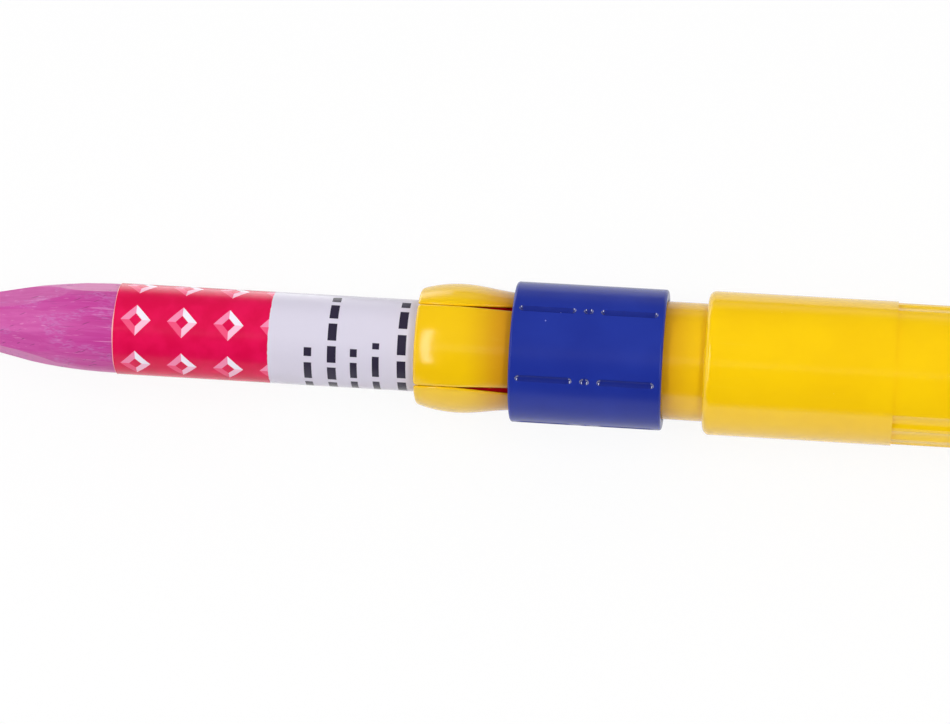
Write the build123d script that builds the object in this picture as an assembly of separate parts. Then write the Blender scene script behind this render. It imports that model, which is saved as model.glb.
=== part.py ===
from build123d import *
import os
from math import cos, radians, sin, sqrt

# Crayon: a pointed pastel stick rolled in printed paper
STICK_DIAMETER = 9.76
STICK_LENGTH = 70.0
STICK_HELD_LENGTH = 15.8
STICK_TAPER_LENGTH = 20.6
STICK_TIP_DIAMETER = 2.0
STICK_TIP_ROUND = 0.85
STICK_BACK_CHAMFER = 0.6
PAPER_THICKNESS = 0.1
PAPER_CLEARANCE = 0.02
PAPER_LENGTH = 46.4
PAPER_SETBACK = 0.5

# Collet jaws: a bulged head in front, a spring arm behind it under the ring
JAW_TURN = 22.5
JAW_CLEARANCE = 0.06
JAW_MOUTH_CHAMFER = 0.35
JAW_ARM_LENGTH = 12.6
JAW_ARM_RELIEF = 0.3
JAW_OPENING_ANGLE = 1.8
NOSE_FACE_WIDTH = 0.51
NOSE_ROUND = 0.5
NOSE_SLOPE = 18.0
HEAD_LENGTH = 10.4
HEAD_CROWN_AT = 4.6
HEAD_RISE = 0.63
SLIT_INSET = 0.68
SLIT_NOSE_WIDTH = 0.14
SLIT_TIGHT_LENGTH = 4.6
SLIT_ARM_WIDTH = 0.52
BROAD_JAW_EDGE_ROUND = 0.45
SIDE_JAW_EDGE_ROUND = 0.15
TOOTH_COUNT = 3
TOOTH_PITCH = 3.0
TOOTH_WIDTH = 1.8
TOOTH_START = 1.6
HINGE_GAP = 0.1

# Collet sleeve: the neck that carries the jaws, and its tail in the barrel
NECK_WALL = 1.1
SLEEVE_CLEARANCE = 0.3
SLEEVE_FLOOR = 1.2
TAIL_LENGTH = 15.0
TAIL_CHAMFER = 0.4
BEAD_HEIGHT = 0.2
BEAD_WIDTH = 1.4
TAIL_BEAD_SETBACK = 10.0
PRESS_CLEARANCE = 0.03

# Clamp ring
RING_CLEARANCE = 0.05
RING_WALL = 1.19
RING_LENGTH = 16.45
RING_TRAVEL = 4.2
RING_STOP_GAP = 0.2
RING_EDGE_ROUND = 0.3
RING_BORE_CHAMFER = 0.3
RING_TURN = 16.0
RING_ROW_COUNT = 6
RING_DASH_LENGTH = 6.2
RING_DASH_GAP = 2.6
RING_DIMPLE_LENGTH = 1.1
RING_MARK_RADIUS = 0.5
RING_MARK_DEPTH = 0.2

# Barrel: a smooth collar in front and a fluted grip behind it
BARREL_WALL = 1.38
BARREL_SHOULDER = 0.9
BARREL_TURN = 11.0
BARREL_LIP_ROUND = 0.8
BARREL_MOUTH_CHAMFER = 0.25
COLLAR_LENGTH = 20.35
GRIP_LENGTH = 60.0
GRIP_STEP = 0.17
GRIP_SIDES = 2
GRIP_FLUTES_PER_SIDE = 5
GRIP_FLUTE_PITCH_ANGLE = 17.0
GRIP_FLUTE_RADIUS = 2.6
GRIP_FLUTE_DEPTH = 0.22
GRIP_FLUTE_BACK_MARGIN = 4.0

# End plug
PLUG_CAP_LENGTH = 3.0
PLUG_CAP_ROUND = 1.4
PLUG_SPIGOT_LENGTH = 9.0
PLUG_SPIGOT_WALL = 1.4
PLUG_BEAD_SETBACK = 5.0

# Radii, worked out from the crayon outwards
stick_r = STICK_DIAMETER / 2
paper_bore_r = stick_r + PAPER_CLEARANCE
paper_r = paper_bore_r + PAPER_THICKNESS
jaw_bore_r = paper_r + JAW_CLEARANCE
slit_offset = jaw_bore_r - SLIT_INSET
sleeve_bore_r = paper_r + SLEEVE_CLEARANCE
neck_r = sleeve_bore_r + NECK_WALL
head_r = neck_r + HEAD_RISE
jaw_arm_r = neck_r - JAW_ARM_RELIEF
nose_face_r = jaw_bore_r + JAW_MOUTH_CHAMFER + NOSE_FACE_WIDTH
ring_bore_r = neck_r + RING_CLEARANCE
ring_r = ring_bore_r + RING_WALL
socket_r = neck_r + PRESS_CLEARANCE
collar_r = socket_r + BARREL_WALL
grip_r = collar_r - GRIP_STEP
barrel_bore_r = socket_r - BARREL_SHOULDER
plug_spigot_r = barrel_bore_r - PRESS_CLEARANCE

# Stations along the axis, from the front face of the jaws, positive to the back
jaw_root = HEAD_LENGTH + JAW_ARM_LENGTH
sleeve_front = jaw_root + HINGE_GAP
ring_front = HEAD_LENGTH
ring_back = ring_front + RING_LENGTH
barrel_front = ring_back + RING_TRAVEL + RING_STOP_GAP
sleeve_back = barrel_front + TAIL_LENGTH
collar_back = barrel_front + COLLAR_LENGTH
barrel_back = collar_back + GRIP_LENGTH
plug_back = barrel_back + PLUG_CAP_LENGTH
stick_back = STICK_HELD_LENGTH
stick_tip = stick_back - STICK_LENGTH
paper_front = stick_tip + STICK_TAPER_LENGTH + PAPER_SETBACK

# The holder lies on its collar: origin on the floor below the middle of its length
axis_height = collar_r
middle = (stick_tip + plug_back) / 2
AT_REST = Pos(-middle, 0, axis_height)


def turned(outline, rounded=()):
    """Solid turned about the axis from (station, radius) corners; rounded lists (corner, radius)."""
    face = make_face(Polyline(*outline, close=True))
    for corner, radius in rounded:
        face = fillet(face.vertices().sort_by_distance(corner)[0], radius)
    return revolve(face, Axis.X)


def bead(station, radius):
    """The three corners of a low snap bead on a turned outline, or of its groove."""
    return [
        (station - BEAD_WIDTH / 2, radius),
        (station, radius + BEAD_HEIGHT),
        (station + BEAD_WIDTH / 2, radius),
    ]


def round_cutter(front, back, cutter_radius, depth, surface_r, angle):
    """Round-ended rod that cuts a groove of that depth from front to back, at that angle from the top."""
    run_out = sqrt(cutter_radius**2 - (cutter_radius - depth) ** 2)
    length = back - front - 2 * run_out
    centre_r = surface_r + cutter_radius - depth
    rod = Rot(Y=90) * Cylinder(cutter_radius, length)
    ends = [Pos(side * length / 2, 0, 0) * Sphere(cutter_radius) for side in (-1, 1)]
    return Rot(X=angle) * Pos((front + back) / 2, 0, centre_r) * (rod + ends)


def make_stick():
    """Pastel stick: a round bar whose front is sharpened to a blunt, bowed point."""
    shoulder = stick_tip + STICK_TAPER_LENGTH
    tip_r = STICK_TIP_DIAMETER / 2
    bow = TangentArc((shoulder, stick_r), (stick_tip, tip_r), tangent=(-1, 0))
    straight = Polyline(
        (stick_tip, tip_r),
        (stick_tip, 0),
        (stick_back, 0),
        (stick_back, stick_r - STICK_BACK_CHAMFER),
        (stick_back - STICK_BACK_CHAMFER, stick_r),
        (shoulder, stick_r),
    )
    face = make_face([bow, *straight.edges()])
    corner = face.vertices().sort_by_distance((stick_tip, tip_r))[0]
    face = fillet(corner, min(STICK_TIP_ROUND, 0.9 * tip_r))
    return revolve(face, Axis.X)


def make_paper():
    """Paper wrapper: one thin sleeve round the stick."""
    paper_back = paper_front + PAPER_LENGTH
    return turned(
        [
            (paper_front, paper_bore_r),
            (paper_front, paper_r),
            (paper_back, paper_r),
            (paper_back, paper_bore_r),
        ]
    )


def jaw_bore_outline():
    """Inside of a jaw from the root to the mouth: relieved, with teeth that grip the paper."""
    corners = [(jaw_root, sleeve_bore_r)]
    for tooth in reversed(range(TOOTH_COUNT)):
        front = TOOTH_START + tooth * TOOTH_PITCH
        corners.append((front + TOOTH_WIDTH, sleeve_bore_r))
        corners.append((front + TOOTH_WIDTH, jaw_bore_r))
        corners.append((front, jaw_bore_r))
        corners.append((front, sleeve_bore_r))
    corners.append((JAW_MOUTH_CHAMFER + TOOTH_WIDTH / 2, sleeve_bore_r))
    corners.append((JAW_MOUTH_CHAMFER + TOOTH_WIDTH / 2, jaw_bore_r))
    corners.append((JAW_MOUTH_CHAMFER, jaw_bore_r))
    corners.append((0, jaw_bore_r + JAW_MOUTH_CHAMFER))
    corners.append((0, nose_face_r))
    return corners


def make_collet_head():
    """The turned head and spring arms of the collet, before the slits part them."""
    nose_heading = (cos(radians(NOSE_SLOPE)), sin(radians(NOSE_SLOPE)))
    nose_end = (NOSE_ROUND * (1 - nose_heading[1]), nose_face_r + NOSE_ROUND * nose_heading[0])
    waist = (HEAD_LENGTH, neck_r)
    nose = TangentArc((0, nose_face_r), nose_end, tangent=(0, 1))
    crown = Spline(
        nose_end,
        (HEAD_CROWN_AT, head_r),
        waist,
        tangents=[nose_heading, (1, 0), (RING_TRAVEL, -JAW_ARM_RELIEF)],
    )
    arm = Polyline(
        waist,
        (HEAD_LENGTH + RING_TRAVEL, jaw_arm_r),
        (jaw_root, jaw_arm_r),
        (jaw_root, sleeve_bore_r),
    )
    bore = Polyline(*jaw_bore_outline())
    return revolve(make_face([nose, crown, *arm.edges(), *bore.edges()]), Axis.X)


def slit_blades():
    """Two parallel blades, one each side of the axis; each cuts two slits, tight at the nose."""
    half_nose = SLIT_NOSE_WIDTH / 2
    half_arm = SLIT_ARM_WIDTH / 2
    upper = [
        (-NOSE_ROUND, half_nose),
        (SLIT_TIGHT_LENGTH, half_nose),
        (HEAD_LENGTH, half_arm),
        (jaw_root + HINGE_GAP, half_arm),
    ]
    lower = [(station, -half_width) for station, half_width in reversed(upper)]
    blade = extrude(make_face(Polyline(*upper, *lower, close=True)), 2 * head_r, both=True)
    return [Pos(0, side * slit_offset, 0) * blade for side in (-1, 1)]


def outer_slit_edges(jaw):
    """The edges of a jaw's head where its outside meets the slits."""
    edges = []
    for edge in jaw.edges():
        point = edge.position_at(0.5)
        on_head = 0 < point.X < HEAD_LENGTH
        on_outside = sqrt(point.Y**2 + point.Z**2) > nose_face_r
        at_a_slit = abs(abs(point.Y) - slit_offset) < SLIT_ARM_WIDTH
        if on_head and on_outside and at_a_slit and abs(edge.tangent_at(0.5).X) > cos(radians(60)):
            edges.append(edge)
    return edges


def make_jaws():
    """The four jaws in turn from the top: a broad one, a side one, and the same two turned round."""
    pieces = (make_collet_head() - slit_blades()).solids()
    broad = pieces.sort_by(Axis.Z)[-1]
    side = pieces.sort_by(Axis.Y)[0]
    broad = broad.fillet(min(BROAD_JAW_EDGE_ROUND, 0.45 * NECK_WALL), outer_slit_edges(broad))
    side = side.fillet(min(SIDE_JAW_EDGE_ROUND, 0.15 * NECK_WALL), outer_slit_edges(side))
    return [Rot(X=JAW_TURN + half_turn) * jaw for half_turn in (0, 180) for jaw in (broad, side)]


def make_sleeve():
    """Collet sleeve: the neck, and a tail with a snap bead and a floor that stops the crayon."""
    return turned(
        [
            (sleeve_front, sleeve_bore_r),
            (sleeve_front, neck_r),
            *bead(barrel_front + TAIL_BEAD_SETBACK, neck_r),
            (sleeve_back - TAIL_CHAMFER, neck_r),
            (sleeve_back, neck_r - TAIL_CHAMFER),
            (sleeve_back, 0),
            (sleeve_back - SLEEVE_FLOOR, 0),
            (sleeve_back - SLEEVE_FLOOR, sleeve_bore_r),
        ]
    )


def make_ring():
    """Clamp ring: a plain tube with rows of sunk grip marks, a dash, a dimple and a dash."""
    edge_round = min(RING_EDGE_ROUND, 0.4 * RING_WALL)
    ring = turned(
        [
            (ring_front, ring_bore_r + RING_BORE_CHAMFER),
            (ring_front, ring_r),
            (ring_back, ring_r),
            (ring_back, ring_bore_r + RING_BORE_CHAMFER),
            (ring_back - RING_BORE_CHAMFER, ring_bore_r),
            (ring_front + RING_BORE_CHAMFER, ring_bore_r),
        ],
        rounded=[((ring_front, ring_r), edge_round), ((ring_back, ring_r), edge_round)],
    )
    ring_middle = (ring_front + ring_back) / 2
    dash_inner = RING_DASH_GAP / 2
    dash_outer = dash_inner + RING_DASH_LENGTH
    dimple_half = RING_DIMPLE_LENGTH / 2
    marks = [(-dash_outer, -dash_inner), (-dimple_half, dimple_half), (dash_inner, dash_outer)]
    row_pitch = 360 / RING_ROW_COUNT
    cutters = []
    for row in range(RING_ROW_COUNT):
        angle = RING_TURN + row_pitch * (row + 0.5)
        for front, back in marks:
            span = (ring_middle + front, ring_middle + back)
            cutters.append(round_cutter(*span, RING_MARK_RADIUS, RING_MARK_DEPTH, ring_r, angle))
    return ring - cutters


def flute_cutter(angle):
    """Rod that cuts one flute of the grip: it starts at the collar's step and runs out at the back."""
    length = barrel_back - GRIP_FLUTE_BACK_MARGIN - GRIP_FLUTE_RADIUS - collar_back
    rod = Pos(length / 2, 0, 0) * Rot(Y=90) * Cylinder(GRIP_FLUTE_RADIUS, length)
    run_out = Pos(length, 0, 0) * Sphere(GRIP_FLUTE_RADIUS)
    centre_r = grip_r + GRIP_FLUTE_RADIUS - GRIP_FLUTE_DEPTH
    return Rot(X=angle) * Pos(collar_back, 0, centre_r) * (rod + run_out)


def make_barrel():
    """Barrel: a hollow handle with a socket for the collet and two sides of grip flutes."""
    barrel = turned(
        [
            (barrel_front, socket_r + BARREL_MOUTH_CHAMFER),
            (barrel_front, collar_r),
            (collar_back, collar_r),
            (collar_back, grip_r),
            (barrel_back, grip_r),
            (barrel_back, barrel_bore_r),
            *reversed(bead(barrel_back - PLUG_BEAD_SETBACK, barrel_bore_r)),
            (sleeve_back, barrel_bore_r),
            (sleeve_back, socket_r),
            *reversed(bead(barrel_front + TAIL_BEAD_SETBACK, socket_r)),
            (barrel_front + BARREL_MOUTH_CHAMFER, socket_r),
        ],
        rounded=[((barrel_front, collar_r), min(BARREL_LIP_ROUND, 0.65 * BARREL_WALL))],
    )
    cutters = []
    for side in range(GRIP_SIDES):
        side_angle = BARREL_TURN + 90 + side * 360 / GRIP_SIDES
        for flute in range(GRIP_FLUTES_PER_SIDE):
            from_middle = flute - (GRIP_FLUTES_PER_SIDE - 1) / 2
            cutters.append(flute_cutter(side_angle + from_middle * GRIP_FLUTE_PITCH_ANGLE))
    return barrel - cutters


def make_plug():
    """End plug: a round cap with a flat end, and a hollow spigot with a snap bead."""
    spigot_front = barrel_back - PLUG_SPIGOT_LENGTH
    spigot_bore_r = plug_spigot_r - PLUG_SPIGOT_WALL
    cap_round = min(PLUG_CAP_ROUND, 0.8 * PLUG_CAP_LENGTH)
    return turned(
        [
            (spigot_front, spigot_bore_r),
            (spigot_front, plug_spigot_r - TAIL_CHAMFER),
            (spigot_front + TAIL_CHAMFER, plug_spigot_r),
            *bead(barrel_back - PLUG_BEAD_SETBACK, plug_spigot_r),
            (barrel_back, plug_spigot_r),
            (barrel_back, grip_r),
            (plug_back, grip_r),
            (plug_back, 0),
            (barrel_back, 0),
            (barrel_back, spigot_bore_r),
        ],
        rounded=[((plug_back, grip_r), cap_round)],
    )


nodes = {
    "pastel_stick": make_stick(),
    "paper_wrapper": make_paper(),
    "collet_sleeve": make_sleeve(),
    "clamp_ring": make_ring(),
    "barrel": make_barrel(),
    "end_plug": make_plug(),
}
for number, jaw in enumerate(make_jaws(), 1):
    nodes[f"collet_jaw_{number}"] = jaw

os.makedirs("parts", exist_ok=True)
for name, solid in nodes.items():
    export_step(AT_REST * solid, f"parts/{name}.step")
    print(f"{name}: {solid.volume:.1f} cubic mm")
print(f"overall length {plug_back - stick_tip:.1f} mm, collar diameter {2 * collar_r:.2f} mm")
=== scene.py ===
# %% [markdown]
# A pastel crayon in a clamp-ring holder.
# The real thing is a pointed crayon in its paper wrapper, gripped by the four jaws of a yellow
# plastic holder. A blue ring slides over the jaws and closes them. The CAD model already has the
# right solids, so this lesson dresses them: it gives each solid its finish, springs the jaws shut,
# rebuilds the two pieces that a hand has changed, the sharpened stick and the rolled paper, and
# sets up a small studio.

from math import atan2, cos, pi, radians, sin, sqrt, tan
from random import Random

import bmesh
import bpy
from mathutils import Matrix, Vector
from numpy import interp


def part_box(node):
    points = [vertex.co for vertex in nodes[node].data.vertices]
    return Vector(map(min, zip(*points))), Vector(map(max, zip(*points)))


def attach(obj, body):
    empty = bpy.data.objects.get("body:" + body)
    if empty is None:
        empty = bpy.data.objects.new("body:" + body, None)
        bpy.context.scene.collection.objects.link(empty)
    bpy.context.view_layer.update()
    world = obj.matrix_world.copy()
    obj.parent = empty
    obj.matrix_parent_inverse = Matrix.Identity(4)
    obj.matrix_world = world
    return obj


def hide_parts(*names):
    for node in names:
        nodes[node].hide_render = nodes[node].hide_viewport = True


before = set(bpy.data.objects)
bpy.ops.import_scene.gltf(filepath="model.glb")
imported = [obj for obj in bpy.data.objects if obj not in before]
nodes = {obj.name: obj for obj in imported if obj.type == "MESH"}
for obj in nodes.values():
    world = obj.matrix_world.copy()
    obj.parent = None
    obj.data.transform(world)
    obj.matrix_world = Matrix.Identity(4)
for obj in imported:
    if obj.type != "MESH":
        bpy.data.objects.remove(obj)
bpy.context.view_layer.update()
print("CAD nodes:", ", ".join(sorted(nodes)))

# %% [markdown]
# Every size of the holder below comes from its CAD solids. The holder lies along X with the crayon's
# point at the low end. Stations are counted from the front face of the jaws, because that is where
# the real holder begins, and they are kept in millimetres, as on a maker's drawing.

# %% Places along the axis
MM = 0.001


def front_of(node):
    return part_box(node)[0].x


def back_of(node):
    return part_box(node)[1].x


def radius_of(node):
    low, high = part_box(node)
    return (high.y - low.y) / 2


axis_height = (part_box("barrel")[0].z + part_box("barrel")[1].z) / 2
nose = front_of("collet_jaw_1")


def station(x):
    return (x - nose) / MM


paper_front_station = station(front_of("paper_wrapper"))
paper_radius_mm = radius_of("paper_wrapper") / MM
ring_from = station(front_of("clamp_ring"))
ring_to = station(back_of("clamp_ring"))
print(f"axis {axis_height / MM:.2f} mm up, paper from {paper_front_station:.1f} mm")
print(f"ring from {ring_from:.1f} to {ring_to:.1f} mm")

# %% [markdown]
# The camera stands above the holder and a little in front of it, so that it looks down at 66
# degrees, with the barrel's end slightly nearer. A long lens keeps the perspective weak. The camera
# is then rolled until the holder slopes down to the right. A camera's matrix has its own right, up
# and back directions as columns, so those three are worked out first and put in one matrix.

# %% Camera
IMAGE_WIDTH = 950
SENSOR_WIDTH = 36.0
PIXELS_PER_MM = 9.19
CAMERA_DISTANCE = 0.45
NEAREST_SEEN = 0.01
VIEW_ELEVATION = radians(66)
VIEW_YAW = radians(5.2)
AXIS_SLOPE = radians(3.35)
AIM_STATION = 6.1
AXIS_ABOVE_CENTRE = 12.9

facing = Vector((0, -cos(VIEW_ELEVATION), sin(VIEW_ELEVATION)))
back = facing * cos(VIEW_YAW) + Vector((sin(VIEW_YAW), 0, 0))
level_right = (Vector((1, 0, 0)) - back * back.x).normalized()
level_up = back.cross(level_right)
right = level_right * cos(AXIS_SLOPE) + level_up * sin(AXIS_SLOPE)
up = back.cross(right)

aim = Vector((nose + AIM_STATION * MM, 0, axis_height))
aim -= up * (AXIS_ABOVE_CENTRE / PIXELS_PER_MM * MM)
lens = bpy.data.cameras.new("photo_camera")
lens.sensor_width = SENSOR_WIDTH
lens.lens = PIXELS_PER_MM / MM * CAMERA_DISTANCE * SENSOR_WIDTH / IMAGE_WIDTH
lens.clip_start = NEAREST_SEEN
camera = bpy.data.objects.new("photo_camera", lens)
bpy.context.scene.collection.objects.link(camera)
camera_turn = Matrix((right, up, back)).transposed().to_4x4()
camera.matrix_world = Matrix.Translation(aim + back * CAMERA_DISTANCE) @ camera_turn
bpy.context.scene.camera = camera
print(f"lens {lens.lens:.1f} mm")

# %% [markdown]
# Materials here are sums and products of patterns, so a small class makes them read like
# arithmetic. A Socket is one output of a node. Adding, multiplying or comparing sockets adds a Math
# node, and the reflected forms let a plain number stand on the left. A Finish is one material, and
# its node method adds any other node: first its settings, then its inputs.

# %% Shader arithmetic


class Socket:
    """One output socket of a finish; arithmetic on it adds Math nodes."""

    def __init__(self, finish, socket):
        self.finish = finish
        self.socket = socket

    def math(self, operation, *others):
        inputs = dict(enumerate((self, *others)))
        return self.finish.node("ShaderNodeMath", {"operation": operation}, inputs)

    def __add__(self, other):
        return self.math("ADD", other)

    __radd__ = __add__

    def __mul__(self, other):
        return self.math("MULTIPLY", other)

    __rmul__ = __mul__

    def __sub__(self, other):
        return self.math("SUBTRACT", other)

    def __rsub__(self, other):
        return self.finish.node("ShaderNodeMath", {"operation": "SUBTRACT"}, {0: other, 1: self})

    def __truediv__(self, other):
        return self.math("DIVIDE", other)

    def __mod__(self, other):
        return self.math("FLOORED_MODULO", other)

    def __lt__(self, other):
        return self.math("LESS_THAN", other)

    def __gt__(self, other):
        return self.math("GREATER_THAN", other)

    def __abs__(self):
        return self.math("ABSOLUTE")


class Finish:
    """One procedural material; its node method adds a node and returns one output of it."""

    def __init__(self, name):
        self.material = bpy.data.materials.new(name)
        self.material.use_nodes = True
        self.tree = self.material.node_tree
        self.shader = self.tree.nodes["Principled BSDF"]

    def feed(self, socket, value):
        if isinstance(value, Socket):
            self.tree.links.new(value.socket, socket)
        else:
            socket.default_value = value

    def node(self, kind, settings=None, inputs=None, output=0):
        made = self.tree.nodes.new(kind)
        for key, value in (settings or {}).items():
            setattr(made, key, value)
        for key, value in (inputs or {}).items():
            self.feed(made.inputs[key], value)
        return Socket(self, made.outputs[output])

    def surface(self, **inputs):
        for key, value in inputs.items():
            self.feed(self.shader.inputs[key.replace("_", " ")], value)


# %% [markdown]
# The same few patterns come back in every finish: a colour mixed from two, a soft noise, a mask with
# soft edges, specks, and a relief that tilts the normal. Colours are written as the eight-bit
# numbers that a paint program shows, and turned into the linear values that a renderer works with.

# %% Pattern helpers


def paint(red, green, blue):
    """Linear colour from eight-bit sRGB numbers."""
    linear = []
    for number in (red, green, blue):
        share = number / 255
        linear.append(share / 12.92 if share <= 0.04045 else ((share + 0.055) / 1.055) ** 2.4)
    return (*linear, 1.0)


MIX_FACTOR, MIX_A, MIX_B, MIX_RESULT = 0, 6, 7, 2


def blend(finish, factor, first, second):
    """Colour that goes from first to second as the factor goes from 0 to 1."""
    settings = {"data_type": "RGBA", "clamp_factor": True}
    inputs = {MIX_FACTOR: factor, MIX_A: first, MIX_B: second}
    return finish.node("ShaderNodeMix", settings, inputs, MIX_RESULT)


def noise(finish, vector, scale, detail=2.0):
    inputs = {"Vector": vector, "Scale": scale, "Detail": detail}
    return finish.node("ShaderNodeTexNoise", {"noise_dimensions": "3D"}, inputs)


def soft_step(finish, value, low, high):
    """0 at low, 1 at high and a smooth ramp between them; low may be the larger one."""
    inputs = {"Value": value, "From Min": low, "From Max": high}
    return finish.node("ShaderNodeMapRange", {"interpolation_type": "SMOOTHSTEP"}, inputs)


def specks(finish, vector, scale, size):
    """Small round dots, where the surface cuts the few balls of that size that lie on it."""
    inputs = {"Vector": vector, "Scale": scale}
    distance = finish.node("ShaderNodeTexVoronoi", {"feature": "F1"}, inputs, "Distance")
    return distance < size


def relief(finish, height, strength, depth):
    """Normal of a surface on which a height of one is that depth in millimetres."""
    inputs = {"Strength": strength, "Distance": depth * MM, "Height": height}
    return finish.node("ShaderNodeBump", None, inputs)


print(f"a middle grey of 128 is {paint(128, 128, 128)[0]:.2f} in linear light")

# %% [markdown]
# Object coordinates are the row frame in metres, because every piece keeps its place in its mesh.
# A Mapping node turns them into millimetres from the jaws' nose, with the third direction towards
# the camera's side, so that an angle of zero round the axis is the middle of what the camera sees.

# %% Drawing coordinates
tilt = pi / 2 - VIEW_ELEVATION
towards_camera = Matrix.Rotation(-tilt, 3, "X")
drawing_origin = towards_camera @ Vector((nose, 0, axis_height)) / MM


def drawing(finish):
    """Position in millimetres: along the axis, across it, and towards the camera's side."""
    place = finish.node("ShaderNodeTexCoord", output="Object")
    inputs = {
        "Vector": place,
        "Location": tuple(-drawing_origin),
        "Rotation": (-tilt, 0, 0),
        "Scale": (1 / MM, 1 / MM, 1 / MM),
    }
    return finish.node("ShaderNodeMapping", {"vector_type": "POINT"}, inputs)


def coordinates(finish, position):
    """The three numbers of a position, each as its own socket."""
    return [finish.node("ShaderNodeSeparateXYZ", None, {"Vector": position}, axis) for axis in range(3)]


def from_axis(across, outwards):
    """Distance from the holder's axis in millimetres."""
    return (across * across + outwards * outwards).math("SQRT")


def streaks(finish, position, along, across, detail, scale=1.0):
    """Noise with its own scale along the axis and across it, which draws it out into streaks."""
    inputs = {"Vector": position, "Scale": (along, across, across)}
    drawn_out = finish.node("ShaderNodeMapping", {"vector_type": "POINT"}, inputs)
    return noise(finish, drawn_out, scale, detail)


def clouds(finish, position, scale):
    """Soft, cloudy change of tone, as the flow of a melt leaves it."""
    return soft_step(finish, noise(finish, position, scale, detail=3.0), low=0.3, high=0.7)


print("drawing starts at", tuple(round(number, 2) for number in drawing_origin), "mm")

# %% [markdown]
# The holder is injection moulded in a warm yellow plastic. A polished mould leaves a gloss, so the
# roughness is low, and what keeps it from looking like computer plastic is slight: a cloudy change
# of tone from the flow of the melt, hairline scuffs along the handle that dull the gloss, a faint
# ripple in the surface and a little dust. The collet's skin is painted from yellow to a darker ochre
# towards the ring: painted shade where the ring shades it, and a painted warm cast of the light that
# comes back from the red paper and the blue ring. The slit walls are deeper in than the skin, get
# no painted shade and stay yellow.

# %% Yellow plastic
HANDLE_TONES = paint(248, 199, 0), paint(252, 205, 0)
COLLET_TONES = paint(241, 192, 0), paint(245, 198, 0)
YELLOW_SCUFF = paint(253, 214, 70)
# Painted shade: the collet's skin darkens to this ochre towards the ring, for the ring's shade and the
# warm light from the red paper and the blue ring.
RING_SHADE_OCHRE = paint(208, 142, 14)
RING_SHADE_FROM = 5.0
RING_SHADE_TO = 31.5
RING_SHADE = 1.7
SKIN_FROM = 5.5
SKIN_TO = 6.2
SCUFF_TINT, SCUFF_HEIGHT, SCUFF_DULLS = 0.15, -0.2, 0.12
DUST_TINT, DUST_HEIGHT, DUST_DULLS = 0.5, 0.8, 0.3
RIPPLE_HEIGHT = 0.6
MOULD_RELIEF = {"strength": 0.25, "depth": 0.01}
YELLOW_IOR = 1.57


def yellow_plastic(name, tones, gloss, scuffs, ring_shade_share):
    finish = Finish(name)
    position = drawing(finish)
    along, across, outwards = coordinates(finish, position)
    hairs = streaks(finish, position, along=0.08, across=3.0, detail=4.0)
    worn = soft_step(finish, hairs, low=0.62, high=0.74) * scuffs
    ripple = noise(finish, position, scale=0.9)
    dust = specks(finish, position, scale=0.35, size=0.02)
    # Painted shade towards the ring, on the collet's outer skin only.
    painted_ring_shade = soft_step(finish, along, RING_SHADE_FROM, ring_from)
    painted_ring_shade = painted_ring_shade * soft_step(finish, along, RING_SHADE_TO, ring_to - RING_SHADE)
    painted_ring_shade = painted_ring_shade * soft_step(finish, from_axis(across, outwards), SKIN_FROM, SKIN_TO)
    colour = blend(finish, clouds(finish, position, scale=0.12), *tones)
    colour = blend(finish, painted_ring_shade * ring_shade_share, colour, RING_SHADE_OCHRE)
    colour = blend(finish, worn * SCUFF_TINT + dust * DUST_TINT, colour, YELLOW_SCUFF)
    height = ripple * RIPPLE_HEIGHT + worn * SCUFF_HEIGHT + dust * DUST_HEIGHT
    roughness = gloss + worn * SCUFF_DULLS + dust * DUST_DULLS
    normal = relief(finish, height, **MOULD_RELIEF)
    finish.surface(Base_Color=colour, Roughness=roughness, Normal=normal, IOR=YELLOW_IOR)
    return finish.material


handle_yellow = yellow_plastic("handle_yellow", HANDLE_TONES, gloss=0.1, scuffs=0.5, ring_shade_share=0.0)
collet_yellow = yellow_plastic("collet_yellow", COLLET_TONES, gloss=0.17, scuffs=0.3, ring_shade_share=0.95)
print("yellow plastic for the handle and the collet")

# %% [markdown]
# The ring is moulded in a deep blue. Its thin, sunk grip marks are real grooves in the solid. Their
# floors are painted darker, as painted shade for the shadow deep in a narrow groove, and the mould is
# polished brightest at their round ends, which catch the lamps as dots, so a clear coat lies there
# alone. Both masks come from the distance to the axis and the station. Dust shows on a dark colour, so
# its specks are denser and paler here.

# %% Blue plastic
BLUE = paint(31, 51, 153)
BLUE_DEEP = paint(28, 46, 145)
BLUE_DUST = paint(150, 160, 215)
# Painted shade for the floors of the sunk marks.
BLUE_MARK_SHADE = paint(18, 30, 112)
MARK_SUNK = 0.03
MARK_ENDS = (0.55, 1.3, 7.5)
MARK_END_LENGTH = 0.42
MARK_SHADE_TINT = 0.55
BLUE_DUST_TINT = 0.8
BLUE_GLOSS = 0.24
CLOUDS_DULL = 0.03
BLUE_IOR = 1.36
END_COAT_IOR = 2.6
END_COAT_ROUGHNESS = 0.12

ring_blue = Finish("ring_blue")
position = drawing(ring_blue)
along, across, outwards = coordinates(ring_blue, position)
from_middle = abs(along - (ring_from + ring_to) / 2)
in_mark = from_axis(across, outwards) < radius_of("clamp_ring") / MM - MARK_SUNK
in_mark = in_mark * (from_middle < MARK_ENDS[-1])
at_end = sum(abs(from_middle - end) < MARK_END_LENGTH for end in MARK_ENDS) * in_mark
cloudy = clouds(ring_blue, position, scale=0.15)
ripple = noise(ring_blue, position, scale=0.8)
dust = specks(ring_blue, position, scale=0.42, size=0.03)
colour = blend(ring_blue, cloudy, BLUE_DEEP, BLUE)
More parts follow.
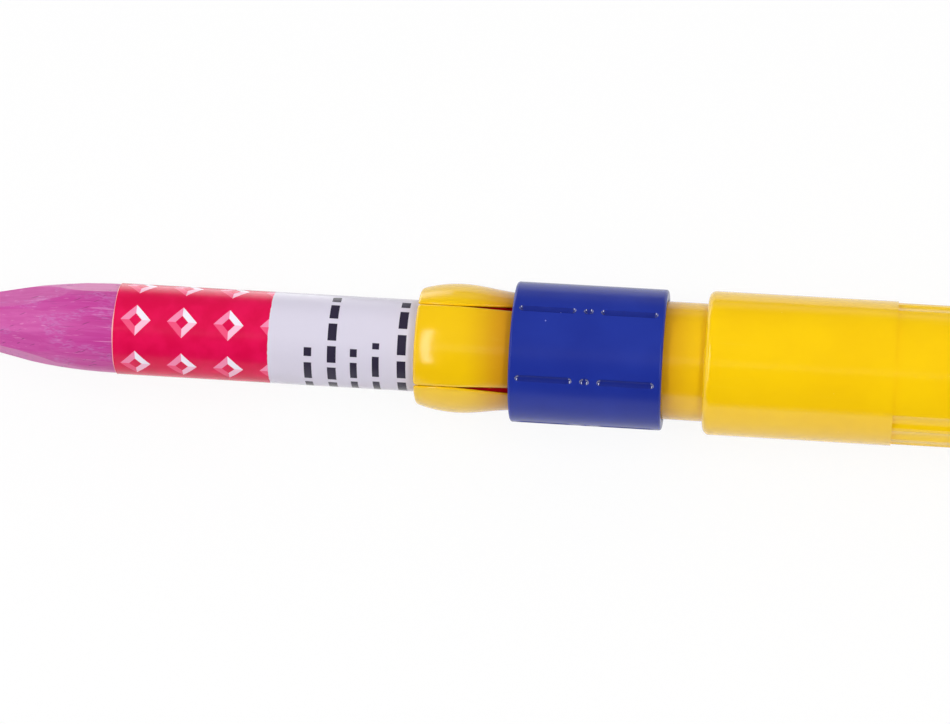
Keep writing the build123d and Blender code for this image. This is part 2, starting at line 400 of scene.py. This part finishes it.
# Painted shade: the floors of the sunk marks are darkened for the shadow deep in the grooves.
colour = blend(ring_blue, in_mark * MARK_SHADE_TINT, colour, BLUE_MARK_SHADE)
colour = blend(ring_blue, dust * BLUE_DUST_TINT, colour, BLUE_DUST)
roughness = BLUE_GLOSS + cloudy * CLOUDS_DULL + dust * DUST_DULLS
normal = relief(ring_blue, ripple * RIPPLE_HEIGHT + dust, **MOULD_RELIEF)
ring_blue.surface(Base_Color=colour, Roughness=roughness, Normal=normal, IOR=BLUE_IOR)
ring_blue.surface(Coat_Weight=at_end, Coat_IOR=END_COAT_IOR, Coat_Roughness=END_COAT_ROUGHNESS)
print("blue plastic for the clamp ring")

# %% [markdown]
# The wrapper is coated paper with a red band, a white band and a second red band that the jaws
# hide. The print here is a plain one of its own: split diamonds in straight rows on the red, and
# rows of dashes on the white where a printed wrapper has its small type. All of it is drawn from two
# numbers, the station along the axis and the distance round it.

# %% Diamonds and dashes
FRONT_BAND_END = -15.98
GEM_TONES = {
    "right_top": paint(240, 232, 244),
    "right_bottom": paint(246, 190, 214),
    "left_top": paint(243, 140, 178),
    "left_bottom": paint(240, 84, 128),
}
GEM_COLUMNS = 6
GEM_OFFSET = 0.3
GEM_PITCH = 5.1
GEM_HALF_LENGTH = 1.65
GEM_HALF_WIDTH = 1.75
GEM_HOLE = 0.42
# A row of dashes: its station, half its height and a dash's pitch in mm, and its upper end in degrees.
TYPE_ROWS = [
    (-11.6, 0.42, 3.1, -10),
    (-9.0, 0.48, 2.5, 70),
    (-6.6, 0.38, 2.8, -9),
    (-4.2, 0.38, 3.4, 0),
    (-1.4, 0.48, 2.9, 66),
]
TYPE_LOWER_END = radians(-150)
TYPE_INKED_SHARE = 0.76


def gem_colour(finish, along, round_axis, ground):
    """Ground colour with split diamonds on the front band, four tones to a diamond."""
    column_pitch = 2 * pi * paper_radius_mm / GEM_COLUMNS
    a = (along - paper_front_station) % GEM_PITCH - GEM_PITCH / 2
    b = (round_axis + column_pitch * GEM_OFFSET) % column_pitch - column_pitch / 2
    size = abs(a) / GEM_HALF_LENGTH + abs(b) / GEM_HALF_WIDTH
    inked = (size < 1) * (size > GEM_HOLE) * (along < FRONT_BAND_END)
    top = b > 0
    to_right = blend(finish, top, GEM_TONES["right_bottom"], GEM_TONES["right_top"])
    to_left = blend(finish, top, GEM_TONES["left_bottom"], GEM_TONES["left_top"])
    return blend(finish, inked, ground, blend(finish, a > 0, to_left, to_right))


def type_mask(along, round_axis, turn):
    """Rows of dashes round the paper, each with its own length of dash and its own end."""
    rows = 0
    for middle, half_height, pitch, upper_end in TYPE_ROWS:
        row = abs(along - middle) < half_height
        dashes = (round_axis - pitch * middle) % pitch < pitch * TYPE_INKED_SHARE
        rows = rows + row * dashes * (turn < radians(upper_end)) * (turn > TYPE_LOWER_END)
    return rows


print("print:", GEM_COLUMNS, "columns of diamonds and", len(TYPE_ROWS), "rows of dashes")

# %% [markdown]
# The colours go on in the order of a printer: ground, pattern, then the bands. A band's edge wanders
# by a few hundredths of a millimetre, as ink does on paper, and the cut front edge shows the bare
# stock. Little light gets down the slits of the jaws, so the hidden band is painted a warmer, brighter
# red; its extra brightness is painted light, for the light that reaches it through the thin jaws.

# %% Printed paper
RED = paint(227, 14, 82)
RED_DEEP = paint(217, 6, 72)
# Partly painted light: the hidden band's red is brighter, to stand in for light that reaches the slits
# through the thin jaws.
BACK_RED_PAINTED_LIGHT = paint(255, 24, 48)
PAPER_WHITE = paint(214, 209, 225)
INK = paint(48, 42, 62)
CUT_EDGE = paint(246, 176, 178)
BACK_BAND_START = 1.6
BAND_WANDER = 0.08
CUT_EDGE_WIDTH = 0.14
PAPER_GLOSS = 0.17
FIBRES_DULL = 0.08
CUT_EDGE_DULLS = 0.3
PAPER_IOR = 1.33

printed_paper = Finish("printed_paper")
position = drawing(printed_paper)
along, across, outwards = coordinates(printed_paper, position)
turn = across.math("ARCTAN2", outwards)
round_axis = turn * paper_radius_mm
mottle = noise(printed_paper, position, scale=0.5, detail=3.0)
red = blend(printed_paper, soft_step(printed_paper, mottle, low=0.35, high=0.7), RED_DEEP, RED)
red = gem_colour(printed_paper, along, round_axis, red)
# The hidden band takes the brighter red, painted light in the slits.
red = blend(printed_paper, along > BACK_BAND_START, red, BACK_RED_PAINTED_LIGHT)
white = blend(printed_paper, type_mask(along, round_axis, turn), PAPER_WHITE, INK)
uneven = noise(printed_paper, position, scale=1.5) * (2 * BAND_WANDER) - BAND_WANDER
in_white = (along + uneven > FRONT_BAND_END) * (along + uneven < BACK_BAND_START)
colour = blend(printed_paper, in_white, red, white)
at_front_edge = along < paper_front_station + CUT_EDGE_WIDTH
colour = blend(printed_paper, at_front_edge, colour, CUT_EDGE)
fibres = streaks(printed_paper, position, along=0.8, across=1.6, detail=4.0, scale=3.0)
roughness = PAPER_GLOSS + fibres * FIBRES_DULL + at_front_edge * CUT_EDGE_DULLS
normal = relief(printed_paper, fibres, strength=0.3, depth=0.01)
printed_paper.surface(Base_Color=colour, Roughness=roughness, Normal=normal, IOR=PAPER_IOR)
print("printed paper, white from", FRONT_BAND_END, "to", BACK_BAND_START, "mm")

# %% [markdown]
# Pastel is pigment bound in wax. A knife leaves it with fine streaks along the stroke, pale
# scratches and a few dark nicks, and where the wax tore, with patches of pale grain. It is deeper in
# colour by the paper, where no hand has rubbed it. Every streak is a noise drawn out along the axis,
# which one stretched Mapping gives, and a turned one gives the nicks that cross it. The dusty bloom
# that pales its edges is the shader's sheen.

# %% Marks of the knife
RUBBED_TO = -42.0
NICK_SLANT = radians(22)
NICK_STRETCH = (4.0, 0.24, 0.6)

pastel = Finish("pastel")
position = drawing(pastel)
along = coordinates(pastel, position)[0]
nick_inputs = {"Vector": position, "Rotation": (0, 0, NICK_SLANT), "Scale": NICK_STRETCH}
slanted = pastel.node("ShaderNodeMapping", {"vector_type": "TEXTURE"}, nick_inputs)
strokes_tone = streaks(pastel, position, along=0.1, across=2.4, detail=5.0)
hatching = streaks(pastel, position, along=0.13, across=5.0, detail=4.0)
grain = streaks(pastel, position, along=1.6, across=6.0, detail=5.0)
patches = streaks(pastel, position, along=0.22, across=0.5, detail=2.0)
scratches = soft_step(pastel, hatching, low=0.61, high=0.71)
furrows = soft_step(pastel, hatching, low=0.38, high=0.3)
nicks = soft_step(pastel, noise(pastel, slanted, scale=1.0), low=0.66, high=0.71)
fresh = soft_step(pastel, along, RUBBED_TO, paper_front_station)
torn = soft_step(pastel, patches, low=0.5, high=0.62) * soft_step(pastel, grain, low=0.4, high=0.66)
print("pastel is rubbed up to", RUBBED_TO, "mm and nicked at a slant")

# %% Pastel
PASTEL = paint(201, 80, 162)
PASTEL_DEEP = paint(192, 58, 147)
PASTEL_GRAIN = paint(196, 108, 178)
PASTEL_PALE = paint(226, 158, 208)
PASTEL_NICK = paint(128, 44, 104)
PASTEL_BLOOM = paint(240, 205, 232)
STROKE_TINT, FRESH_TINT, TORN_TINT, NICK_TINT = 0.45, 0.65, 0.8, 0.75
FURROW_TINT, FURROW_FRESH_TINT = 0.12, 0.5
SCRATCH_TINT, SCRATCH_FRESH_TINT = 0.4, 0.35
STROKE_HEIGHT, HATCH_HEIGHT, TORN_HEIGHT, NICK_DEPTH = 0.5, 0.4, 0.25, 0.8
PASTEL_ROUGHNESS = 0.36
TORN_DULLS = 0.15
PASTEL_IOR = 1.37
BLOOM_WEIGHT = 0.2
BLOOM_ROUGHNESS = 0.4

deep = soft_step(pastel, strokes_tone, low=0.42, high=0.6) * STROKE_TINT + fresh * FRESH_TINT
colour = blend(pastel, deep, PASTEL, PASTEL_DEEP)
colour = blend(pastel, torn * TORN_TINT, colour, PASTEL_GRAIN)
colour = blend(pastel, furrows * (fresh * FURROW_FRESH_TINT + FURROW_TINT), colour, PASTEL_NICK)
colour = blend(pastel, scratches * (fresh * SCRATCH_FRESH_TINT + SCRATCH_TINT), colour, PASTEL_PALE)
colour = blend(pastel, nicks * NICK_TINT, colour, PASTEL_NICK)
height = strokes_tone * STROKE_HEIGHT + hatching * HATCH_HEIGHT + torn * TORN_HEIGHT - nicks * NICK_DEPTH
roughness = PASTEL_ROUGHNESS + torn * TORN_DULLS
normal = relief(pastel, height, strength=0.45, depth=0.04)
pastel.surface(Base_Color=colour, Roughness=roughness, Normal=normal, IOR=PASTEL_IOR)
pastel.surface(Sheen_Weight=BLOOM_WEIGHT, Sheen_Roughness=BLOOM_ROUGHNESS, Sheen_Tint=PASTEL_BLOOM)
print("pastel of", len(pastel.tree.nodes), "nodes")

# %% [markdown]
# Most CAD solids of the holder already have the right shape, so they stay and only take their
# finish. A CAD object is never moved and its mesh is never changed.

# %% Finishes on the CAD solids
holder_finishes = {
    "barrel": handle_yellow,
    "end_plug": handle_yellow,
    "collet_sleeve": collet_yellow,
    "clamp_ring": ring_blue.material,
}
for node, material in holder_finishes.items():
    nodes[node].data.materials.clear()
    nodes[node].data.materials.append(material)
print(len(holder_finishes), "CAD solids have their finish")

# %% [markdown]
# A new piece starts as a bmesh in the row frame. Doubles are merged and normals recalculated before
# it becomes an object, the object stays at the origin, and edges sharper than a few degrees are
# marked, so that smooth shading doesn't run over a cut.

# %% Making a piece
WELD = 0.0005 * MM


def make_piece(name, shape, material, body, sharp_degrees):
    bmesh.ops.remove_doubles(shape, verts=shape.verts, dist=WELD)
    bmesh.ops.recalc_face_normals(shape, faces=shape.faces)
    mesh = bpy.data.meshes.new(name)
    shape.to_mesh(mesh)
    shape.free()
    mesh.shade_smooth()
    mesh.set_sharp_from_angle(angle=radians(sharp_degrees))
    mesh.materials.append(material)
    piece = bpy.data.objects.new(name, mesh)
    bpy.context.scene.collection.objects.link(piece)
    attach(piece, body)
    print(name, len(mesh.polygons), "faces")
    return piece


# %% [markdown]
# The ring squeezes the jaws until their slits shut at the nose, and the plastic gives a little. The
# CAD jaws leave a saw cut there, so each one is copied, its triangles are merged, and the edges
# beside its slits are pushed into the gap: nearly shut at the nose, and less and less where the slit
# opens. The back slit stays tight for longer than the front one. A vertex moves less the further it
# is from the slit, so the rounded edges keep their shape.

# %% Jaws sprung shut
JAW_COUNT = 4
JAW_TURN = radians(22.5)
BROAD_JAWS = (1, 3)
SLIT_FROM_AXIS = 4.38
SLIT_HALF_NOSE = 0.07
PUSH_REACH = 0.6
# The push into a slit at each station, both in mm, with straight runs between.
FRONT_PUSH = {4.6: 0.056, 8.0: 0.0}
BACK_PUSH = {4.6: 0.056, 10.4: 0.085, 14.0: 0.0}


def sprung_jaw(number):
    """Copy of a CAD jaw with its slit edges pushed into the slits."""
    outwards = 1 if number in BROAD_JAWS else -1
    shape = bmesh.new()
    shape.from_mesh(nodes[f"collet_jaw_{number}"].data)
    bmesh.ops.remove_doubles(shape, verts=shape.verts, dist=WELD)
    jaw_frame = Matrix.Translation((0, 0, axis_height)) @ Matrix.Rotation(JAW_TURN, 4, "X")
    bmesh.ops.transform(shape, matrix=jaw_frame.inverted(), verts=shape.verts)
    for vertex in shape.verts:
        side = 1 if vertex.co.y > 0 else -1
        from_slit = outwards * (SLIT_FROM_AXIS - side * vertex.co.y / MM) - SLIT_HALF_NOSE
        if from_slit < PUSH_REACH:
            pushes = BACK_PUSH if side > 0 else FRONT_PUSH
            push = interp(station(vertex.co.x), list(pushes), list(pushes.values()))
            share = 1 - max(from_slit, 0.0) / PUSH_REACH
            vertex.co.y += side * outwards * share * push * MM
    bmesh.ops.transform(shape, matrix=jaw_frame, verts=shape.verts)
    name = f"sprung_jaw_{number}"
    piece = make_piece(name, shape, collet_yellow, f"jaw_{number}", sharp_degrees=32)
    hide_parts(f"collet_jaw_{number}")


for number in range(1, JAW_COUNT + 1):
    sprung_jaw(number)

# %% [markdown]
# The stick is sharpened with a knife, so its point is not a clean cone. Here a bowed point is spun
# first, with the size of the CAD stick: a line of corners along its side goes right round the axis.

# %% Bowed point
TAPER_LENGTH = 20.6 * MM
TIP_RADIUS = 1.0 * MM
TIP_ROUND = 0.85 * MM
TIP_STEPS = 4
BACK_CHAMFER = 0.6 * MM
BOW_STEPS = 14
STICK_STEPS = 96

stick_front = front_of("pastel_stick")
stick_back = back_of("pastel_stick")
stick_radius = radius_of("pastel_stick")
shoulder = stick_front + TAPER_LENGTH
drop = stick_radius - TIP_RADIUS
bow_radius = (TAPER_LENGTH**2 + drop**2) / (2 * drop)


def spin_profile(corners, steps, angle=2 * pi, closed=False):
    """Shape of revolution about the holder's axis from (x, radius) corners in metres."""
    shape = bmesh.new()
    points = [shape.verts.new((x, 0, axis_height + radius)) for x, radius in corners]
    ends = points[1:] + (points[:1] if closed else [])
    lines = [shape.edges.new(pair) for pair in zip(points, ends)]
    bmesh.ops.spin(
        shape,
        geom=points + lines,
        cent=(0, 0, axis_height),
        axis=(1, 0, 0),
        angle=angle,
        steps=steps,
        use_merge=angle == 2 * pi,
    )
    return shape


def bow_height(ahead):
    """Radius of the bowed point, that far ahead of its shoulder."""
    return stick_radius - bow_radius + sqrt(bow_radius**2 - ahead**2)


profile = [(stick_front, 0)]
for step in range(TIP_STEPS):
    turned = pi / 2 * step / TIP_STEPS
    x = stick_front + TIP_ROUND * (1 - cos(turned))
    profile.append((x, TIP_RADIUS - TIP_ROUND * (1 - sin(turned))))
for step in range(BOW_STEPS - 1, -1, -1):
    ahead = TAPER_LENGTH * step / BOW_STEPS
    profile.append((shoulder - ahead, bow_height(ahead)))
profile.append((stick_back - BACK_CHAMFER, stick_radius))
profile.append((stick_back, stick_radius - BACK_CHAMFER))
profile.append((stick_back, 0))
stick = spin_profile(profile, STICK_STEPS)
bmesh.ops.remove_doubles(stick, verts=stick.verts, dist=WELD)
print("bowed point of", len(stick.faces), "faces")

# %% [markdown]
# Each knife stroke then cuts the point with a plane: bisect_plane throws away what lies outside the
# plane, and the open loop that it leaves is filled with one flat face. Long strokes make the facets
# of the point. Shorter, shallow ones fade out by the shoulder and round the tip; they go round the
# stick by the golden angle, so that they never line up.

# %% Knife strokes
# A long stroke: degrees round the stick, mm ahead of the shoulder and mm deep.
LONG_STROKES = [
    (-70, 1.5, 0.2),
    (-52, 11.0, 0.34),
    (-4, 10.0, 0.2),
    (31, 10.0, 0.17),
    (72, 11.5, 0.32),
    (112, 10.5, 0.24),
    (152, 10.0, 0.22),
    (191, 10.5, 0.24),
    (229, 10.0, 0.2),
    (267, 11.0, 0.22),
]
# Short strokes, by the shoulder and at the tip: how many, mm ahead, mm deep and degrees of skew.
SHORT_STROKES = [
    (18, (1.0, 6.5), (0.03, 0.08), (-3, 3)),
    (7, (16.5, 19.0), (0.06, 0.12), (-5, 5)),
]
GOLDEN_ANGLE = 137.5
HAND_SEED = 4

hand = Random(HAND_SEED)
strokes = [(*stroke, 0.0) for stroke in LONG_STROKES]
for count, *spans in SHORT_STROKES:
    for number in range(count):
        strokes.append((number * GOLDEN_ANGLE, *[hand.uniform(*span) for span in spans]))

for turned, ahead_mm, depth_mm, skew in strokes:
    ahead = ahead_mm * MM
    slope = atan2(ahead, sqrt(bow_radius**2 - ahead**2))
    round_stick = Matrix.Rotation(tilt + radians(turned), 3, "X")
    touch = round_stick @ Vector((0, 0, bow_height(ahead) - depth_mm * MM))
    outward = round_stick @ Vector((-sin(slope), sin(radians(skew)), cos(slope))).normalized()
    cut = bmesh.ops.bisect_plane(
        stick,
        geom=stick.verts[:] + stick.edges[:] + stick.faces[:],
        plane_co=touch + Vector((shoulder - ahead, 0, axis_height)),
        plane_no=outward,
        clear_outer=True,
    )
    rim = [part for part in cut["geom_cut"] if isinstance(part, bmesh.types.BMEdge)]
    bmesh.ops.contextual_create(stick, geom=rim)
print(len(strokes), "knife strokes")

sharpened_stick = make_piece(
    "sharpened_stick", stick, pastel.material, "crayon", sharp_degrees=3
)
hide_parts("pastel_stick")

# %% [markdown]
# The paper is rolled round the stick and glued where it overlaps itself. Its tube is a thin closed
# profile spun right round. The front edge was cut by hand, so its ring of vertices is waved by a few
# hundredths of a millimetre.

# %% Rolled paper
PAPER_STEPS = 96
PAPER_THICKNESS = 0.1 * MM
EDGE_WAVE = 0.06 * MM
# The waves that add up to the cut: how many go round, where they start, and their share.
EDGE_WAVES = [(3, 0, 0.6), (7, 1, 0.4)]

paper_front = front_of("paper_wrapper")
paper_back = back_of("paper_wrapper")
paper_radius = radius_of("paper_wrapper")


def paper_profile(front, inside, outside):
    """Corners of a thin strip of paper, from its front to the paper's back."""
    return [(front, inside), (front, outside), (paper_back, outside), (paper_back, inside)]


tube_profile = paper_profile(paper_front, paper_radius - PAPER_THICKNESS, paper_radius)
tube = spin_profile(tube_profile, PAPER_STEPS, closed=True)
for vertex in tube.verts:
    if vertex.co.x < paper_front + WELD:
        round_paper = atan2(vertex.co.y, vertex.co.z - axis_height)
        waved = sum(share * sin(count * round_paper + start) for count, start, share in EDGE_WAVES)
        vertex.co.x += EDGE_WAVE * (1 + waved)
rolled_paper = make_piece(
    "rolled_paper", tube, printed_paper.material, "crayon", sharp_degrees=40
)
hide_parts("paper_wrapper")

# %% [markdown]
# The overlap is a second, thinner strip on the side away from the camera. It is spun only part of
# the way round, so its two long ends are open and get a face each.

# %% Overlap of the paper
LAP_THICKNESS = 0.045 * MM
LAP_ANGLE = radians(34)
LAP_STEPS = 10
LAP_TURN = radians(160)

lap_front = paper_front + 2 * EDGE_WAVE
lap_profile = paper_profile(lap_front, paper_radius - LAP_THICKNESS, paper_radius + LAP_THICKNESS)
lap = spin_profile(lap_profile, LAP_STEPS, LAP_ANGLE, closed=True)
bmesh.ops.holes_fill(lap, edges=[edge for edge in lap.edges if edge.is_boundary], sides=4)
bmesh.ops.rotate(
    lap, verts=lap.verts, cent=(0, 0, axis_height), matrix=Matrix.Rotation(LAP_TURN, 3, "X")
)
make_piece("paper_lap", lap, printed_paper.material, "crayon", sharp_degrees=30)

# %% [markdown]
# The floor is a white sheet on a pale table. The gloss of the plastic shows where the sheet ends:
# the pale bands along the barrel are its mirror image, and they stop at a clear line. So the floor
# looks white to the camera everywhere, and white in reflections only on the sheet. A part of its
# look is plain diffuse shading, which keeps the object's shadow.

# %% Floor
FLOOR_HALF = 2.0
FLOOR_DROP = 0.02 * MM

floor_shape = bmesh.new()
bmesh.ops.create_grid(floor_shape, x_segments=2, y_segments=2, size=FLOOR_HALF)
bmesh.ops.translate(floor_shape, verts=floor_shape.verts, vec=(0, 0, -FLOOR_DROP))
floor_mesh = bpy.data.meshes.new("floor")
floor_shape.to_mesh(floor_mesh)
floor_shape.free()
floor = bpy.data.objects.new("floor", floor_mesh)
bpy.context.scene.collection.objects.link(floor)
print("floor", 2 * FLOOR_HALF, "m across")

# %% White sheet
SHEET_HALF_DEPTH = 0.088
SHEET_HALF_LENGTH = 0.6
SHEET_EDGE = 0.004
SELF_LIT_SHARE = 0.91
FLOOR_ROUGHNESS = 0.9
WHITE = (1, 1, 1, 1)
SHEET_WHITE = (0.9, 0.9, 0.9, 1.0)
TABLE_GREY = (0.34, 0.34, 0.35, 1.0)
RAY_KINDS = {"camera": "Is Camera Ray", "glossy": "Is Glossy Ray", "through": "Is Transmission Ray"}

paper_floor = Finish("paper_floor")
place = paper_floor.node("ShaderNodeTexCoord", output="Object")
floor_x, floor_y, _ = coordinates(paper_floor, place)
on_sheet = soft_step(paper_floor, abs(floor_y), SHEET_HALF_DEPTH + SHEET_EDGE, SHEET_HALF_DEPTH)
on_sheet = on_sheet * (abs(floor_x) < SHEET_HALF_LENGTH)
seen = {key: paper_floor.node("ShaderNodeLightPath", output=name) for key, name in RAY_KINDS.items()}
shown_white = seen["camera"].math("MAXIMUM", (seen["glossy"] + seen["through"]) * on_sheet)
looks_white = on_sheet.math("MAXIMUM", seen["camera"])
floor_colour = blend(paper_floor, looks_white, TABLE_GREY, SHEET_WHITE)
paper_floor.surface(Base_Color=floor_colour, Roughness=FLOOR_ROUGHNESS)
self_lit = paper_floor.node("ShaderNodeEmission", None, {"Color": WHITE, "Strength": 1.0})
shaded = Socket(paper_floor, paper_floor.shader.outputs[0])
mixed = {0: shown_white * SELF_LIT_SHARE, 1: shaded, 2: self_lit}
both = paper_floor.node("ShaderNodeMixShader", None, mixed)
paper_floor.feed(paper_floor.tree.nodes["Material Output"].inputs["Surface"], both)
floor_mesh.materials.append(paper_floor.material)
print("white sheet", 2 * SHEET_HALF_DEPTH, "m deep")

# %% [markdown]
# Two narrow soft boxes stand left and right of the camera, as on a copy stand. Seen from the object
# each covers a band from 27 to 37 degrees off the camera's line, which puts a small highlight on the
# jaws' nose and on each mark's end and none on the straight barrel. A lamp's power follows from the
# brightness that its face should have.

# %% Soft boxes
BOX_DISTANCE = 0.5
BOX_INNER = radians(27)
BOX_OUTER = radians(37)
BOX_HALF_SPREAD = radians(28)
BOX_RADIANCE = 4.9

lit_point = Vector((nose, 0, axis_height))
across_lamp = Vector((1, 0, 0)).cross(facing)


def soft_box(name, away, across, distance, width, depth, radiance, target=lit_point):
    """Flat lamp that faces its target from the direction away, with its depth along across."""
    lamp = bpy.data.lights.new(name, "AREA")
    lamp.shape = "RECTANGLE"
    lamp.size = width
    lamp.size_y = depth
    lamp.energy = radiance * pi * width * depth
    box = bpy.data.objects.new(name, lamp)
    bpy.context.scene.collection.objects.link(box)
    turned = Matrix((across.cross(away), across, away)).transposed().to_4x4()
    box.matrix_world = Matrix.Translation(target + away * distance) @ turned
    print(name, f"{lamp.energy:.2f} W")
    return box


box_middle = (BOX_INNER + BOX_OUTER) / 2
box_width = 2 * BOX_DISTANCE * tan((BOX_OUTER - BOX_INNER) / 2)
box_depth = 2 * BOX_DISTANCE * tan(BOX_HALF_SPREAD)
for side, name in ((-1, "left_box"), (1, "right_box")):
    away = facing * cos(box_middle) + Vector((side * sin(box_middle), 0, 0))
    soft_box(name, away, across_lamp, BOX_DISTANCE, box_width, box_depth, BOX_RADIANCE)

# %% [markdown]
# A wide panel behind the object lifts its far side. It would also wash out the yellow by its mirror
# image, so it is kept out of glossy rays, and so is a long bar over the camera, which shines straight
# into the slits.

# %% Fill panel and front bar
PANEL_ELEVATION = radians(60)
PANEL_DISTANCE = 0.9
PANEL_WIDTH = 2.4
PANEL_DEPTH = 1.8
PANEL_RADIANCE = 0.57
FRONT_DISTANCE = 0.6
FRONT_WIDTH = 1.2
FRONT_DEPTH = 0.08
FRONT_RADIANCE = 4.7

behind = Vector((0, cos(PANEL_ELEVATION), sin(PANEL_ELEVATION)))
down_panel = behind.cross(Vector((1, 0, 0)))
panel = soft_box(
    "fill_panel", behind, down_panel, PANEL_DISTANCE, PANEL_WIDTH, PANEL_DEPTH, PANEL_RADIANCE
)
front = soft_box(
    "front_bar", facing, across_lamp, FRONT_DISTANCE, FRONT_WIDTH, FRONT_DEPTH, FRONT_RADIANCE
)
for lamp in (panel, front):
    lamp.visible_glossy = False

# %% [markdown]
# Two dim cards past the holder's ends put a pale rim on each edge that faces them. Two strips behind
# the crayon, one flat and one upright, draw the pale line along its top, and only as a mirror image.

# %% Cards and strips
CARD_ELEVATION = radians(16)
CARD_DISTANCE = 0.7
CARD_WIDTH = 1.2
CARD_DEPTH = 0.4
LEFT_CARD_RADIANCE = 0.95
RIGHT_CARD_RADIANCE = 0.5
STRIP_STATION = -56.0
STRIP_WIDTH = 0.088
STRIP_NEAR = 0.018
STRIP_FAR = 0.1
STRIP_RISE = 0.016
STRIP_LIFT = 0.0003
STRIP_RADIANCE = 1.5

cards = [(-1, "left_card", LEFT_CARD_RADIANCE), (1, "right_card", RIGHT_CARD_RADIANCE)]
for side, name, radiance in cards:
    away = Vector((side * cos(CARD_ELEVATION), 0, sin(CARD_ELEVATION)))
    upright = Vector((-side * sin(CARD_ELEVATION), 0, cos(CARD_ELEVATION)))
    soft_box(name, away, upright, CARD_DISTANCE, CARD_WIDTH, CARD_DEPTH, radiance)

strip_x = nose + STRIP_STATION * MM
strip_depth = STRIP_FAR - STRIP_NEAR
flat_middle = Vector((strip_x, (STRIP_NEAR + STRIP_FAR) / 2, STRIP_LIFT))
upright_middle = Vector((strip_x, STRIP_FAR, STRIP_RISE / 2))
backwards, upwards = Vector((0, 1, 0)), Vector((0, 0, 1))
flat_strip = soft_box(
    "flat_strip", -upwards, backwards, 0, STRIP_WIDTH, strip_depth, STRIP_RADIANCE, flat_middle
)
upright_strip = soft_box(
    "upright_strip", backwards, upwards, 0, STRIP_WIDTH, STRIP_RISE, STRIP_RADIANCE, upright_middle
)
for lamp in (flat_strip, upright_strip):
    lamp.visible_diffuse = False

# %% [markdown]
# The dim world glows a little along the horizon behind the object, so the pale line on top of the
# barrel fades out. A world has nodes as a material has, so it takes the same arithmetic.

# %% World
WORLD_LEVEL = 0.08
GLOW_LEVEL = 0.48
GLOW_TOP = sin(radians(22))


class Sky(Finish):
    """The world's nodes, written with the same arithmetic as a finish."""

    def __init__(self, world):
        world.use_nodes = True
        self.tree = world.node_tree
        self.shader = self.tree.nodes["Background"]


world = bpy.data.worlds.new("dim_studio")
sky = Sky(world)
_, sky_y, sky_z = coordinates(sky, sky.node("ShaderNodeTexCoord", output="Generated"))
glow = soft_step(sky, sky_z, GLOW_TOP, 0.0) * (sky_y > 0)
sky.surface(Color=WHITE, Strength=glow * GLOW_LEVEL + WORLD_LEVEL)
bpy.context.scene.world = world
bpy.context.scene.view_settings.view_transform = "Standard"
print("world at", WORLD_LEVEL, "and up to", GLOW_LEVEL, "more along the back")
